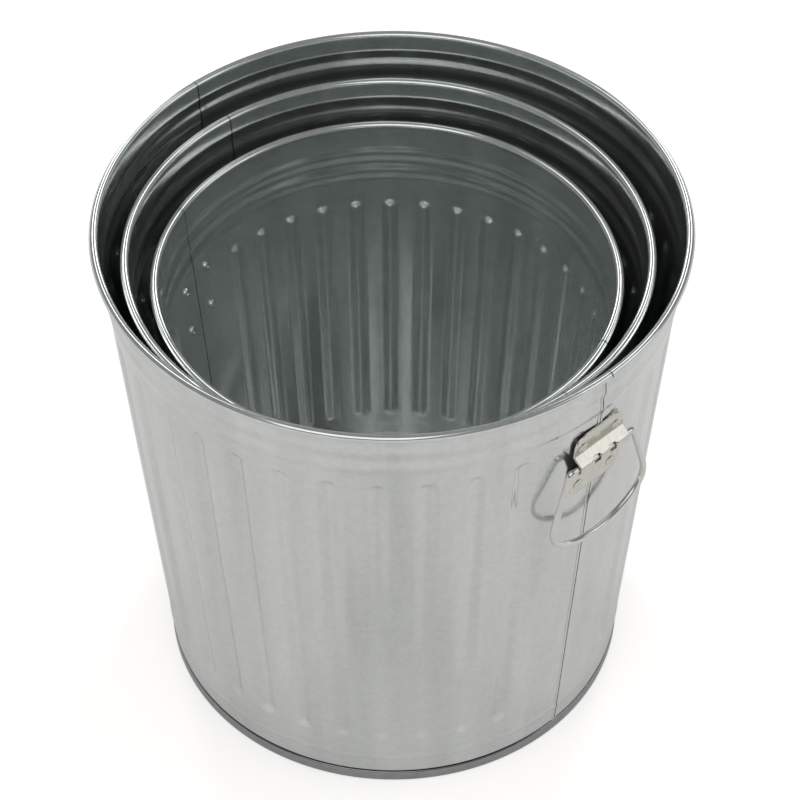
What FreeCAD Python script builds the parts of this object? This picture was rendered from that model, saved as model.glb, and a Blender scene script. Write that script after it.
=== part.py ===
import FreeCAD
import Part
import Sketcher
import math
import os

# Nested set of three open galvanised cans. Each can has two half sheets joined by lock
# seams, a seamed floor and two riveted brackets that each hold a wire bail.
# Millimetres, +Z up, origin at the middle of the bottom edge of the largest can.
# The largest can has its brackets on the X axis.

SIZES = {
    # the three cans
    "outer_rim_diameter": 440.0,
    "outer_height": 429.0,
    "outer_turn": 0.0,
    "middle_rim_diameter": 393.6,
    "middle_height": 391.0,
    "middle_turn": -4.3,
    "inner_rim_diameter": 350.4,
    "inner_height": 355.5,
    "inner_turn": 21.5,
    # how far each can stands off the middle of the nest, and the way it has slid
    "outer_shift": 0.0,
    "middle_shift": 2.8,
    "inner_shift": 3.8,
    "shift_turn": 226.2,
    # sheet metal walls: a drop is a distance below the rim
    "wall_slope": 0.0757,
    "sheet_thickness": 0.6,
    "rim_roll": 5.8,
    "bead_height": 2.0,
    "bead_spacing": 17.0,
    "outer_bead_drop": 22.0,
    "middle_bead_drop": 22.0,
    "inner_bead_drop": 28.0,
    "flute_count": 16,
    "flute_pitch": 9.6,
    "outer_flute_width": 15.0,
    "middle_flute_width": 13.2,
    "inner_flute_width": 11.7,
    "flute_flank": 4.0,
    "flute_depth": 2.5,
    "outer_flute_drop": 56.0,
    "middle_flute_drop": 56.0,
    "inner_flute_drop": 71.5,
    "flute_foot": 54.0,
    "fold_width": 4.0,
    "fold_thickness": 0.6,
    # seamed floors
    "seam_height": 10.0,
    "seam_width": 3.4,
    "floor_thickness": 0.6,
    # brackets: heights are from the wire, along the wall
    "outer_bracket_drop": 82.0,
    "middle_bracket_drop": 80.0,
    "inner_bracket_drop": 83.0,
    "outer_wire_offset": 6.2,
    "middle_wire_offset": 5.2,
    "inner_wire_offset": 4.2,
    "plate_width": 57.0,
    "plate_thickness": 1.2,
    "plate_gap": 0.1,
    "plate_corner": 10.0,
    "upper_flange": 26.0,
    "lower_flange": 37.0,
    "barrel_rise": 8.0,
    "wire_clearance": 0.35,
    "notch_width": 7.0,
    "notch_spacing": 20.0,
    "rivet_spacing": 33.5,
    "rivet_rise": 40.0,
    "upper_rivet": 13.5,
    "rivet_head": 9.0,
    "rivet_height": 1.8,
    # wire bails
    "wire_diameter": 5.0,
    "elbow_clearance": 1.5,
    "bail_elbow": 3.5,
    "bail_width": 96.0,
    "bail_shoulder": 50.0,
    "bail_drop": 81.5,
    "wire_end_gap": 1.0,
    "middle_bail_lean": 1.0,
    "inner_bail_lean": 0.8,
}
CANS = ("outer", "middle", "inner")
SIDES = {"right": 0.0, "left": 180.0}
WIRE_FACETS = 8
RIVET_FACETS = 8
BOW_STEPS = 6
# the rolled rim's corners as drop below the rim and reach from the wall, and the drop
# where the roll ends inside: all are shares of the roll's size
ROLL_CORNERS = ((1, 0), (1, 0.6), (0.5, 1), (0, 0.65), (0, 0.15))
ROLL_END = 0.35
# how far a rounded corner's middle stays inside both edges, as a share of its radius
CORNER_CUT = 0.3
# how far the flutes' cutter starts outside the wall
OVERCUT = 1.0
PLAIN_FLATS = 3

doc = FreeCAD.newDocument("NestedCans")
sheet = doc.addObject("Spreadsheet::Sheet", "Sizes")
for row, (alias, value) in enumerate(SIZES.items(), start=1):
    sheet.set(f"A{row}", alias)
    sheet.set(f"B{row}", str(value))
    sheet.setAlias(f"B{row}", alias)
doc.recompute()


# ---------------------------------------------------------------- values and places
def value_of(expression):
    """The number that an expression of the sheet gives."""
    return float(sheet.evalExpression(expression.replace("Sizes.", "")))


def size(alias):
    """The value of one driving dimension."""
    return float(sheet.get(alias))


def wall_radius(can, drop, out="0"):
    """Expression for the wall's outer radius at a drop below the rim, moved outward."""
    return (
        f"Sizes.{can}_rim_diameter / 2 - Sizes.rim_roll"
        f" - Sizes.wall_slope * ({drop}) + ({out})"
    )


def level(can, drop):
    """Expression for the height of a drop below the rim, from the can's bottom edge."""
    return f"Sizes.{can}_height - ({drop})"


def foot_drop(can):
    """Expression for the drop of the wall's foot, which stands on the floor's seam."""
    return f"Sizes.{can}_height - Sizes.seam_height"


def wall_tilt():
    """The wall's lean from the vertical, in degrees."""
    return math.degrees(math.atan(size("wall_slope")))


def turned(axis, degrees):
    """A placement that only turns, about an axis through the origin."""
    return FreeCAD.Placement(FreeCAD.Vector(), FreeCAD.Rotation(axis, degrees))


def moved(x, y, z):
    """A placement that only moves."""
    return FreeCAD.Placement(FreeCAD.Vector(x, y, z), FreeCAD.Rotation())


Y_AXIS = FreeCAD.Vector(0, 1, 0)
Z_AXIS = FreeCAD.Vector(0, 0, 1)


def can_place(can):
    """A can's place in the nest: each stands on the floor of the next larger one, a
    little off its middle."""
    base = CANS.index(can) * size("seam_height")
    shift, way = size(f"{can}_shift"), math.radians(size("shift_turn"))
    seat = moved(shift * math.cos(way), shift * math.sin(way), base)
    return seat * turned(Z_AXIS, size(f"{can}_turn"))


def bracket_place(can, side):
    """The wall's surface behind the wire: X outward from the wall, Z up along it."""
    drop = size(f"{can}_bracket_drop")
    radius = value_of(wall_radius(can, drop))
    wall_point = moved(radius, 0, size(f"{can}_height") - drop)
    around = turned(Z_AXIS, SIDES[side])
    return can_place(can) * around * wall_point * turned(Y_AXIS, wall_tilt())


def bail_place(can, side):
    """The wire's axis in the bracket. The largest can's bail hangs plumb. In the nest the
    next can leaves no room for that, and the bails stay near their own walls."""
    lean = wall_tilt() if can == "outer" else size(f"{can}_bail_lean")
    axis = moved(size(f"{can}_wire_offset"), 0, 0)
    return bracket_place(can, side) * axis * turned(Y_AXIS, -lean)


# ---------------------------------------------------------------- sketches and bodies
def new_body(label):
    """An empty body with its label."""
    body = doc.addObject("PartDesign::Body", label)
    body.Label = label
    body.AllowCompound = True
    return body


def origin_part(body, role):
    """One of a body's own origin planes or axes."""
    return next(part for part in body.Origin.OriginFeatures if part.Role == role)


def new_sketch(body, name, role, offset=None):
    """A sketch on one of the body's origin planes, moved by an offset placement."""
    sketch = body.newObject("Sketcher::SketchObject", f"{body.Name}_{name}")
    sketch.AttachmentSupport = (origin_part(body, role), [""])
    sketch.MapMode = "FlatFace"
    if offset is not None:
        sketch.AttachmentOffset = offset
    return sketch


def pin_point(sketch, edge, end, corner):
    """Ties one end of an edge to the sketch's origin by a pair of expressions."""
    for kind, expression in zip(("DistanceX", "DistanceY"), corner):
        constraint = Sketcher.Constraint(kind, -1, 1, edge, end, value_of(expression))
        index = sketch.addConstraint(constraint)
        if "Sizes." in expression:
            sketch.setExpression(f"Constraints[{index}]", expression)


def draw(sketch, corners, closed=True):
    """Straight edges through corners, each given as a pair of expressions."""
    points = [FreeCAD.Vector(value_of(x), value_of(y), 0) for x, y in corners]
    ends = points[1:] + points[:1] if closed else points[1:]
    first = len(sketch.Geometry)
    for start, end in zip(points, ends):
        sketch.addGeometry(Part.LineSegment(start, end), False)
    last = first + len(ends) - 1
    for edge in range(first, last):
        sketch.addConstraint(Sketcher.Constraint("Coincident", edge, 2, edge + 1, 1))
    if closed:
        sketch.addConstraint(Sketcher.Constraint("Coincident", last, 2, first, 1))
    for edge, corner in zip(range(first, last + 1), corners):
        pin_point(sketch, edge, 1, corner)
    if not closed:
        pin_point(sketch, last, 2, corners[-1])


def facet_ring(centre, radius, facets):
    """Corners of a regular polygon about a centre, all as expressions."""
    step = 360.0 / facets
    return [
        (
            f"{centre[0]} + ({radius}) * cos({step * (turn + 0.5)})",
            f"{centre[1]} + ({radius}) * sin({step * (turn + 0.5)})",
        )
        for turn in range(facets)
    ]


def flat_turns():
    """Where the half sheet's flats face: on the seam, on each flute and between them."""
    half_pitch = size("flute_pitch") / 2
    first = 90.0 - half_pitch * (size("flute_count") - 1)
    fluted = [first + half_pitch * flat for flat in range(2 * int(size("flute_count")) - 1)]
    plain = [first * flat / PLAIN_FLATS for flat in range(PLAIN_FLATS)]
    return plain + fluted + [180.0 - turn for turn in reversed(plain)]


def half_round(radius):
    """Corners of half a can: its two ends and the bends between flats at one radius."""
    turns = flat_turns()
    corners = [(radius, "0")]
    for turn, after in zip(turns, turns[1:]):
        middle, half = math.radians((turn + after) / 2), math.radians((after - turn) / 2)
        reach = 1 / math.cos(half)
        corners.append((
            f"({radius}) * {reach * math.cos(middle):.9f}",
            f"({radius}) * {reach * math.sin(middle):.9f}",
        ))
    return corners + [(f"-({radius})", "0")]


def volume(feature):
    """The volume after a recompute."""
    doc.recompute()
    return feature.Shape.Volume


def add_feature(body, kind, name, sketch, lengths, **settings):
    """A sketch-based feature whose lengths and angles follow expressions."""
    feature = body.newObject(f"PartDesign::{kind}", f"{body.Name}_{name}")
    feature.Profile = sketch
    for key, setting in settings.items():
        setattr(feature, key, setting)
    for key, expression in lengths.items():
        feature.setExpression(key, expression)
    return feature


def pattern_round(body, name, feature):
    """Repeats a flute's feature round the half sheet."""
    pattern = body.newObject("PartDesign::PolarPattern", f"{body.Name}_{name}")
    pattern.Originals = [feature]
    pattern.Axis = (origin_part(body, "Z_Axis"), [""])
    pattern.setExpression("Occurrences", "Sizes.flute_count")
    pattern.setExpression("Angle", "Sizes.flute_pitch * (Sizes.flute_count - 1)")
    body.Tip = pattern
    return pattern


# ---------------------------------------------------------------- half sheets
def bead_line(can, out):
    """The beads' zigzag from the lower wall up, as the wall's surface moved outward."""
    first = f"Sizes.{can}_bead_drop"
    half = "Sizes.bead_spacing / 2"
    crest = f"Sizes.bead_height + ({out})"
    steps = (
        (f"{first} + 3 * {half}", out),
        (f"{first} + 2 * {half}", crest),
        (f"{first} + {half}", out),
        (first, crest),
    )
    return [(wall_radius(can, drop, push), level(can, drop)) for drop, push in steps]


def rim_line(can):
    """The rolled rim, from the roll's foot on the outside over to the inside."""
    face = wall_radius(can, "0")
    corners = [
        (f"{face} + {reach} * Sizes.rim_roll", level(can, f"{drop} * Sizes.rim_roll"))
        for drop, reach in ROLL_CORNERS
    ]
    inside = (f"{face} - Sizes.sheet_thickness", level(can, f"{ROLL_END} * Sizes.rim_roll"))
    return corners + [inside]


def build_sheet(can):
    """The half sheet on the +Y side: beaded, rolled at the rim, folded at its edges."""
    body = new_body(f"{can}_wall_back")
    inner = "-Sizes.sheet_thickness"
    foot = foot_drop(can)
    outline = [(wall_radius(can, foot, side), level(can, foot)) for side in (inner, "0")]
    outline += bead_line(can, "0") + rim_line(can) + bead_line(can, inner)[::-1]
    profile = new_sketch(body, "profile", "XZ_Plane")
    draw(profile, outline)
    route = new_sketch(body, "route", "XY_Plane")
    draw(route, half_round(f"Sizes.{can}_rim_diameter / 2"), closed=False)
    doc.recompute()
    add_feature(
        body, "AdditivePipe", "bent", profile, {}, Spine=(route, [""]),
        Transition="Right corner",
    )
    for name, sign in (("start", 1), ("end", -1)):
        add_fold(body, can, name, sign)
    add_flutes(body, can)
    body.Placement = can_place(can)
    return body


def add_fold(body, can, name, sign):
    """The lock seam's second layer along one edge of the half sheet."""
    foot = foot_drop(can)
    top = "Sizes.rim_roll + Sizes.fold_thickness"
    inside, outside = (
        [(wall_radius(can, foot, out), level(can, foot))]
        + bead_line(can, out)
        + [(wall_radius(can, top, out), level(can, top))]
        for out in ("-Sizes.sheet_thickness / 2", "Sizes.fold_thickness")
    )
    strip = new_sketch(body, f"fold_{name}", "XZ_Plane")
    corners = inside + outside[::-1]
    draw(strip, [(f"{sign} * ({x})", z) for x, z in corners])
    length = {"Length": "Sizes.fold_width / 2"}
    add_feature(body, "Pad", f"fold_{name}_layer", strip, length, Reversed=True)


def flute_place(can, start_drop):
    """The wall's surface at the first flute, with Z up along the wall."""
    first_turn = 90.0 - size("flute_pitch") * (size("flute_count") - 1) / 2
    radius = value_of(wall_radius(can, start_drop))
    height = size(f"{can}_height") - start_drop
    return (
        turned(Z_AXIS, first_turn)
        * moved(radius, 0, height)
        * turned(Y_AXIS, wall_tilt())
    )


def trapezoid(outside, inside, wide, narrow):
    """A flute's section: wide on the outside of the wall, narrow on the inside."""
    return [
        (outside, f"({wide}) / 2"),
        (inside, f"({narrow}) / 2"),
        (inside, f"-({narrow}) / 2"),
        (outside, f"-({wide}) / 2"),
    ]


def add_flutes(body, can):
    """Upright flutes pressed inward: ridges are added inside, then hollowed outside."""
    thick = size("sheet_thickness")
    foot = size(f"{can}_height") - size("flute_foot")
    run = (
        f"(Sizes.{can}_height - Sizes.{can}_flute_drop - Sizes.flute_foot)"
        " * sqrt(1 + Sizes.wall_slope ^ 2)"
    )
    width = f"Sizes.{can}_flute_width"
    ridge = new_sketch(body, "ridge", "XY_Plane", flute_place(can, foot + thick))
    draw(ridge, trapezoid(
        "-Sizes.sheet_thickness / 2",
        "-Sizes.flute_depth - Sizes.sheet_thickness",
        f"{width} + 2 * Sizes.sheet_thickness",
        f"{width} + Sizes.sheet_thickness - 2 * Sizes.flute_flank",
    ))
    pad = add_feature(
        body, "Pad", "ridge_pad", ridge, {"Length": f"{run} + 2 * Sizes.sheet_thickness"}
    )
    ridges = pattern_round(body, "ridges", pad)
    groove = new_sketch(body, "groove", "XY_Plane", flute_place(can, foot))
    draw(groove, trapezoid(
        f"{OVERCUT}",
        "-Sizes.flute_depth",
        f"{width} + 2 * {OVERCUT} * Sizes.flute_flank / Sizes.flute_depth",
        f"{width} - 2 * Sizes.flute_flank",
    ))
    before = volume(ridges)
    pocket = add_feature(body, "Pocket", "groove_cut", groove, {"Length": run})
    pocket.Reversed = True
    grooves = pattern_round(body, "grooves", pocket)
    if volume(grooves) >= before:
        raise ValueError(f"{body.Label}: the flutes cut nothing")


def build_other_sheet(can, body):
    """The half sheet on the -Y side is the mirror of the first."""
    mirror = doc.addObject("Part::Mirroring", f"{can}_wall_front")
    mirror.Label = f"{can}_wall_front"
    mirror.Source = body
    mirror.Base = can_place(can).Base
    mirror.Normal = can_place(can).Rotation.multVec(Y_AXIS)
    return mirror


# ---------------------------------------------------------------- floors
def half_disc(body, name, radius):
    """Half a disc with the flats of the wall above it, at a radius."""
    sketch = new_sketch(body, name, "XY_Plane")
    draw(sketch, half_round(radius))
    return sketch


def build_floor(can):
    """The raised floor and the seam that it makes round the wall's foot."""
    body = new_body(f"{can}_floor")
    edge = wall_radius(can, foot_drop(can))
    disc = half_disc(body, "edge", edge)
    pad = add_feature(body, "Pad", "disc", disc, {"Length": "Sizes.seam_height"})
    before = volume(pad)
    hollow = half_disc(body, "inside", f"{edge} - Sizes.seam_width")
    depth = "Sizes.seam_height - Sizes.floor_thickness"
    pocket = add_feature(
        body, "Pocket", "raised", hollow, {"Length": depth}, Reversed=True
    )
    if volume(body) >= before:
        raise ValueError(f"{body.Label}: the floor isn't raised")
    other_half = body.newObject("PartDesign::Mirrored", f"{body.Name}_other_half")
    other_half.Originals = [pad, pocket]
    other_half.MirrorPlane = (origin_part(body, "XZ_Plane"), [""])
    body.Tip = other_half
    body.Placement = can_place(can)
    return body


# ---------------------------------------------------------------- brackets and rivets
PLATE_BACK = "Sizes.fold_thickness + Sizes.plate_gap"
PLATE_FRONT = f"{PLATE_BACK} + Sizes.plate_thickness"


def barrel_section(can):
    """The bent strap that holds the wire, seen along the wire."""
    root = "Sizes.barrel_rise"
    tab = f"{root} + Sizes.plate_thickness"
    radius = "Sizes.wire_diameter / 2"
    half = f"{radius} + Sizes.wire_clearance"
    inside = f"Sizes.{can}_wire_offset + {half}"
    outside = f"{inside} + Sizes.plate_thickness"
    upper = [
        (PLATE_BACK, tab),
        (PLATE_BACK, root),
        (inside, radius),
    ]
    lower = [(outside, half), (PLATE_FRONT, root), (PLATE_FRONT, tab)]
    return (
        upper
        + [(x, f"-({z})") for x, z in upper[::-1]]
        + [(x, f"-({z})") for x, z in lower[::-1]]
        + lower
    )


def flange_outline(reach, sign):
    """One flange of the plate, from the barrel out to its rounded corners."""
    side, corner = "Sizes.plate_width / 2", "Sizes.plate_corner"
    right = [
        (side, "Sizes.barrel_rise"),
        (side, f"{reach} - {corner}"),
        (f"{side} - {CORNER_CUT} * {corner}", f"{reach} - {CORNER_CUT} * {corner}"),
        (f"{side} - {corner}", reach),
    ]
    left = [(f"-({y})", z) for y, z in right[::-1]]
    return [(y, f"{sign} * ({z})") for y, z in right + left]


def build_bracket(can, side):
    """A pressed plate with two flanges, and a barrel between them round the wire."""
    body = new_body(f"{can}_bracket_{side}")
    section = new_sketch(body, "section", "XZ_Plane")
    draw(section, barrel_section(can))
    barrel = add_feature(body, "Pad", "barrel", section, {"Length": "Sizes.plate_width"})
    barrel.Midplane = True
    plate = new_sketch(body, "plate", "YZ_Plane", moved(0, 0, value_of(PLATE_BACK)))
    draw(plate, flange_outline("Sizes.upper_flange", 1))
    draw(plate, flange_outline("Sizes.lower_flange", -1))
    flanges = add_feature(
        body, "Pad", "flanges", plate, {"Length": "Sizes.plate_thickness"}
    )
    before = volume(flanges)
    add_notches(body, can)
    if volume(body) >= before:
        raise ValueError(f"{body.Label}: the notches cut nothing")
    body.Placement = bracket_place(can, side)
    return body


def add_notches(body, can):
    """Two notches in the lower half of the barrel's face."""
    half = "Sizes.wire_diameter / 2 + Sizes.wire_clearance"
    face = value_of(f"Sizes.{can}_wire_offset + {half}")
    sketch = new_sketch(body, "notches", "YZ_Plane", moved(0, 0, face))
    for sign in (1, -1):
        near, far = (
            f"{sign} * (Sizes.notch_spacing + {way} * Sizes.notch_width) / 2"
            for way in (-1, 1)
        )
        bottom = f"-({half})"
        draw(sketch, [(near, bottom), (far, bottom), (far, "0"), (near, "0")])
    add_feature(
        body, "Pocket", "notch_cut", sketch, {"Length": "2 * Sizes.plate_thickness"},
        Reversed=True,
    )


def build_rivets(can, side):
    """Four low rivet heads on the plate, two on each flange."""
    body = new_body(f"{can}_rivets_{side}")
    sketch = new_sketch(body, "heads", "YZ_Plane", moved(0, 0, value_of(PLATE_FRONT)))
    for sign in (1, -1):
        across = f"{sign} * Sizes.rivet_spacing / 2"
        for up in ("Sizes.upper_rivet", "Sizes.upper_rivet - Sizes.rivet_rise"):
            ring = facet_ring((across, up), "Sizes.rivet_head / 2", RIVET_FACETS)
            draw(sketch, ring)
    add_feature(body, "Pad", "rivets", sketch, {"Length": "Sizes.rivet_height"})
    body.Placement = bracket_place(can, side)
    return body


# ---------------------------------------------------------------- bails
def bail_route():
    """The wire's centre line, from its end in the barrel round to its other end."""
    half, reach = "Sizes.bail_width / 2", "(Sizes.bail_drop - Sizes.bail_shoulder)"
    bar = "Sizes.plate_width / 2 + Sizes.elbow_clearance"
    right = [
        ("Sizes.wire_end_gap / 2", "0"),
        (bar, "0"),
        (f"{bar} + Sizes.bail_elbow", "-Sizes.bail_elbow"),
    ]
    bow = [
        (
            f"{half} * cos({180.0 * step / BOW_STEPS})",
            f"-Sizes.bail_shoulder - {reach} * sin({180.0 * step / BOW_STEPS})",
        )
        for step in range(BOW_STEPS + 1)
    ]
    left = [(f"-({y})", z) for y, z in right[::-1]]
    return right + bow + left


def build_bail(can, side):
    """One bent wire: a bar in the barrel, two legs and a bowed grip."""
    body = new_body(f"{can}_bail_{side}")
    route = new_sketch(body, "route", "YZ_Plane")
    draw(route, bail_route(), closed=False)
    start = moved(0, 0, -size("wire_end_gap") / 2)
    section = new_sketch(body, "section", "XZ_Plane", start)
    draw(section, facet_ring(("0", "0"), "Sizes.wire_diameter / 2", WIRE_FACETS))
    doc.recompute()
    wire = add_feature(
        body, "AdditivePipe", "wire", section, {}, Spine=(route, [""]),
        Transition="Right corner",
    )
    body.Tip = wire
    body.Placement = bail_place(can, side)
    return body


# ---------------------------------------------------------------- the nest
def build_can(can):
    """All pieces of one can."""
    wall = build_sheet(can)
    pieces = [wall, build_other_sheet(can, wall), build_floor(can)]
    for side in SIDES:
        pieces.append(build_bracket(can, side))
        pieces.append(build_rivets(can, side))
        pieces.append(build_bail(can, side))
    return pieces


def check_model(pieces):
    """Stops at any failed object or any sub-part without a valid solid."""
    failed = [o.Name for o in doc.Objects if {"Invalid", "Error"} & set(o.State)]
    if failed:
        raise ValueError(f"failed objects: {failed}")
    for piece in pieces:
        shape = piece.Shape
        if shape.isNull() or not shape.isValid() or not shape.Solids:
            raise ValueError(f"{piece.Label} has no valid solid")


def main():
    pieces = [piece for can in CANS for piece in build_can(can)]
    doc.recompute()
    check_model(pieces)
    os.makedirs("parts", exist_ok=True)
    for piece in pieces:
        piece.Shape.exportStep(f"parts/{piece.Label}.step")
        print(f"{piece.Label}: {len(piece.Shape.Solids)} solids, {piece.Shape.Volume:.1f}")


main()
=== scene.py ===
"""Nested set of three open galvanised cans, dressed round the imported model.

Every can is made of two half sheets with a rolled rim, two beads and upright flutes, a seamed
floor, two riveted brackets and two wire bails. Sizes are millimetres in the dataclasses, and
metres in the meshes.
"""

import logging
import math
from collections.abc import Sequence
from dataclasses import dataclass
from enum import Enum

import bmesh
import bpy
import numpy as np
from mathutils import Matrix, Vector

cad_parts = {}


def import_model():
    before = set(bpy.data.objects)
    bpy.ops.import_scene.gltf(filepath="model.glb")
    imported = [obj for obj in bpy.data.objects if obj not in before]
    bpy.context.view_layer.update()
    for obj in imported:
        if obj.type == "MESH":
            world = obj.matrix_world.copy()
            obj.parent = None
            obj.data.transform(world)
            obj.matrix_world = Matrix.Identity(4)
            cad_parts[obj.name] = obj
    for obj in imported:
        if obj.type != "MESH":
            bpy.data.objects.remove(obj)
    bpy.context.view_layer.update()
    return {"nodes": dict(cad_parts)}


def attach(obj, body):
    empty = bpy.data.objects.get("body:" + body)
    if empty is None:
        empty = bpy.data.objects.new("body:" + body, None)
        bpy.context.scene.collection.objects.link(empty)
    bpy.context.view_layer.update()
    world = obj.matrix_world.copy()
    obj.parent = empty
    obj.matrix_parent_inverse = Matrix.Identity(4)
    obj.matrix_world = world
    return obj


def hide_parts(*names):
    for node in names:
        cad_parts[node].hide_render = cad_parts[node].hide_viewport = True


log = logging.getLogger("cans")

Point = tuple[float, float]
Spot = tuple[float, float, float]
Colour = tuple[float, float, float]
Feed = float | bpy.types.NodeSocket

MM = 0.001
FLOAT, GEOMETRY = "NodeSocketFloat", "NodeSocketGeometry"
WHITE = (1.0, 1.0, 1.0, 1.0)
# The layer and the colour below paint shade into the sheets: the seam, the fold's edge, the underside of the
# rolled rim, the foot and the inside under the rim are drawn dark where shade falls.
PAINTED_SHADE_LAYER = "crevice"  # the points' layer of painted shade: how dark a joint or crease is drawn
PAINTED_SHADE_COLOUR: Colour = (0.06, 0.062, 0.06)
RAMP_STOPS = (0.3, 0.7)
RIPPLE_SCALE, RIPPLE_DETAIL = 11.0, 1.0
RIVET_SPIN = 1.1  # radians from one rivet to the next
SHEET_EDGE, FLOOR_EDGE, PLATE_EDGE, ROUND_EDGE = 35.0, 40.0, 38.0, 50.0  # degrees that stay sharp
FLOOR_STEPS, RIVET_STEPS = 240, 28


class Half(Enum):
    """Which half sheet of a can."""

    BACK = "back"
    FRONT = "front"


class Side(Enum):
    """Where a bracket stands on its can, in degrees about the can's axis."""

    RIGHT = 0.0
    LEFT = 180.0

    @property
    def label(self) -> str:
        """The side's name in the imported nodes."""
        return self.name.lower()


# ---------------------------------------------------------------- node trees
class Desk:
    """Lays nodes in a tree and joins their sockets."""

    def __init__(self, tree: bpy.types.NodeTree) -> None:
        """Takes the tree to work in.

        Args:
            tree: The tree that gets the nodes.
        """
        self.tree = tree

    def node(self, kind: str, feeds: dict | None = None, **settings) -> bpy.types.Node:
        """Adds one node.

        Args:
            kind: The node's type name.
            feeds: Values or sockets for its inputs, by socket name or number.
            settings: Values for the node's own properties.

        Returns:
            The new node.
        """
        made = self.tree.nodes.new(kind)
        for name, value in settings.items():
            setattr(made, name, value)
        for name, value in (feeds or {}).items():
            self.feed(made.inputs[name], value)
        return made

    def feed(self, socket: bpy.types.NodeSocket, value: Feed) -> None:
        """Links a socket to another, or sets its value."""
        if isinstance(value, bpy.types.NodeSocket):
            self.tree.links.new(value, socket)
        else:
            socket.default_value = value

    def math(self, operation: str, *values: Feed, clamp: bool = False) -> bpy.types.NodeSocket:
        """Adds a Math node.

        Args:
            operation: The node's operation.
            values: Its inputs, in order.
            clamp: Whether the result is kept between 0 and 1.

        Returns:
            The node's output.
        """
        kind = "ShaderNodeMath"
        made = self.node(kind, dict(enumerate(values)), operation=operation, use_clamp=clamp)
        return made.outputs[0]

    def smooth(self, value: Feed, low: Feed, high: Feed) -> bpy.types.NodeSocket:
        """A soft step from 0 at low to 1 at high.

        Args:
            value: What is stepped.
            low: Where the step starts.
            high: Where it ends.

        Returns:
            The step's socket.
        """
        feeds = {"Value": value, "From Min": low, "From Max": high}
        made = self.node("ShaderNodeMapRange", feeds, interpolation_type="SMOOTHSTEP")
        return made.outputs["Result"]

    def put_out(self, name: str, geometry: bpy.types.NodeSocket, metal: bpy.types.NodeSocket) -> None:
        """Ends a geometry tree: makes instances real and gives the mesh its metal.

        Args:
            name: The output's name.
            geometry: What the tree has made.
            metal: The material's socket.
        """
        real = self.node("GeometryNodeRealizeInstances", {0: geometry})
        dressed = self.node("GeometryNodeSetMaterial", {"Geometry": real.outputs[0], "Material": metal})
        self.node("NodeGroupOutput", {name: dressed.outputs[0]})


def open_sockets(tree: bpy.types.NodeTree, inputs: dict[str, str], outputs: dict[str, str]) -> None:
    """Gives a node group its named sockets.

    Args:
        tree: The group's tree.
        inputs: Socket types by name.
        outputs: Socket types by name.
    """
    for direction, sockets in (("INPUT", inputs), ("OUTPUT", outputs)):
        for name, kind in sockets.items():
            tree.interface.new_socket(name=name, in_out=direction, socket_type=kind)


def flute_tree() -> bpy.types.NodeTree:
    """The geometry tree that presses upright flutes into a sheet, and lets it ripple.

    Returns:
        A tree with named inputs for the flutes' sizes.
    """
    tree = bpy.data.node_groups.new("press_flutes", "GeometryNodeTree")
    numbers = ("First", "Pitch", "Last", "Width", "Flank", "Depth", "Bottom", "Top", "Ripple")
    inputs = {"Sheet": GEOMETRY} | {name: FLOAT for name in numbers}
    inputs |= {"Seed": FLOAT, "Metal": "NodeSocketMaterial"}
    open_sockets(tree, inputs, {"Sheet": GEOMETRY})
    desk = Desk(tree)
    given = desk.node("NodeGroupInput").outputs
    place = desk.node("GeometryNodeInputPosition").outputs[0]
    split = desk.node("ShaderNodeSeparateXYZ", {0: place}).outputs
    turn = desk.math("ABSOLUTE", desk.math("ARCTAN2", split[1], split[0]))
    past_first = desk.math("SUBTRACT", turn, given["First"])
    steps = desk.math("ROUND", desk.math("DIVIDE", past_first, given["Pitch"]))
    nearest = desk.math("MINIMUM", desk.math("MAXIMUM", steps, 0.0), given["Last"])
    middle = desk.math("MULTIPLY_ADD", nearest, given["Pitch"], given["First"])
    flat = desk.node("ShaderNodeCombineXYZ", {0: split[0], 1: split[1]}).outputs[0]
    radius = desk.node("ShaderNodeVectorMath", {0: flat}, operation="LENGTH").outputs["Value"]
    across = desk.math("MULTIPLY", desk.math("SUBTRACT", turn, middle), radius)
    half_width = desk.math("MULTIPLY", given["Width"], 0.5)
    above = desk.math("SUBTRACT", split[2], desk.math("SUBTRACT", given["Top"], half_width))
    below = desk.math("SUBTRACT", desk.math("ADD", given["Bottom"], half_width), split[2])
    past = desk.math("MAXIMUM", desk.math("MAXIMUM", above, below), 0.0)
    squares = [desk.math("POWER", part, 2.0) for part in (across, past)]
    reach = desk.math("SQRT", desk.math("ADD", *squares))
    pressed = desk.smooth(desk.math("SUBTRACT", half_width, reach), 0.0, given["Flank"])
    moving = desk.node("ShaderNodeVectorMath", {0: place}, operation="ADD")
    shift = desk.node("ShaderNodeCombineXYZ", {0: given["Seed"], 1: given["Seed"]}).outputs[0]
    desk.feed(moving.inputs[1], shift)
    feeds = {"Vector": moving.outputs[0], "Scale": RIPPLE_SCALE, "Detail": RIPPLE_DETAIL}
    noise = desk.node("ShaderNodeTexNoise", feeds)
    swell = desk.math("MULTIPLY", desk.math("SUBTRACT", noise.outputs[0], 0.5), given["Ripple"])
    inward = desk.math("SUBTRACT", swell, desk.math("MULTIPLY", pressed, given["Depth"]))
    outward = desk.node("ShaderNodeVectorMath", {0: flat}, operation="NORMALIZE").outputs[0]
    push = desk.node("ShaderNodeVectorMath", {0: outward, "Scale": inward}, operation="SCALE").outputs[0]
    moved = desk.node("GeometryNodeSetPosition", {"Geometry": given["Sheet"], "Offset": push})
    desk.put_out("Sheet", moved.outputs[0], given["Metal"])
    return tree


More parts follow.
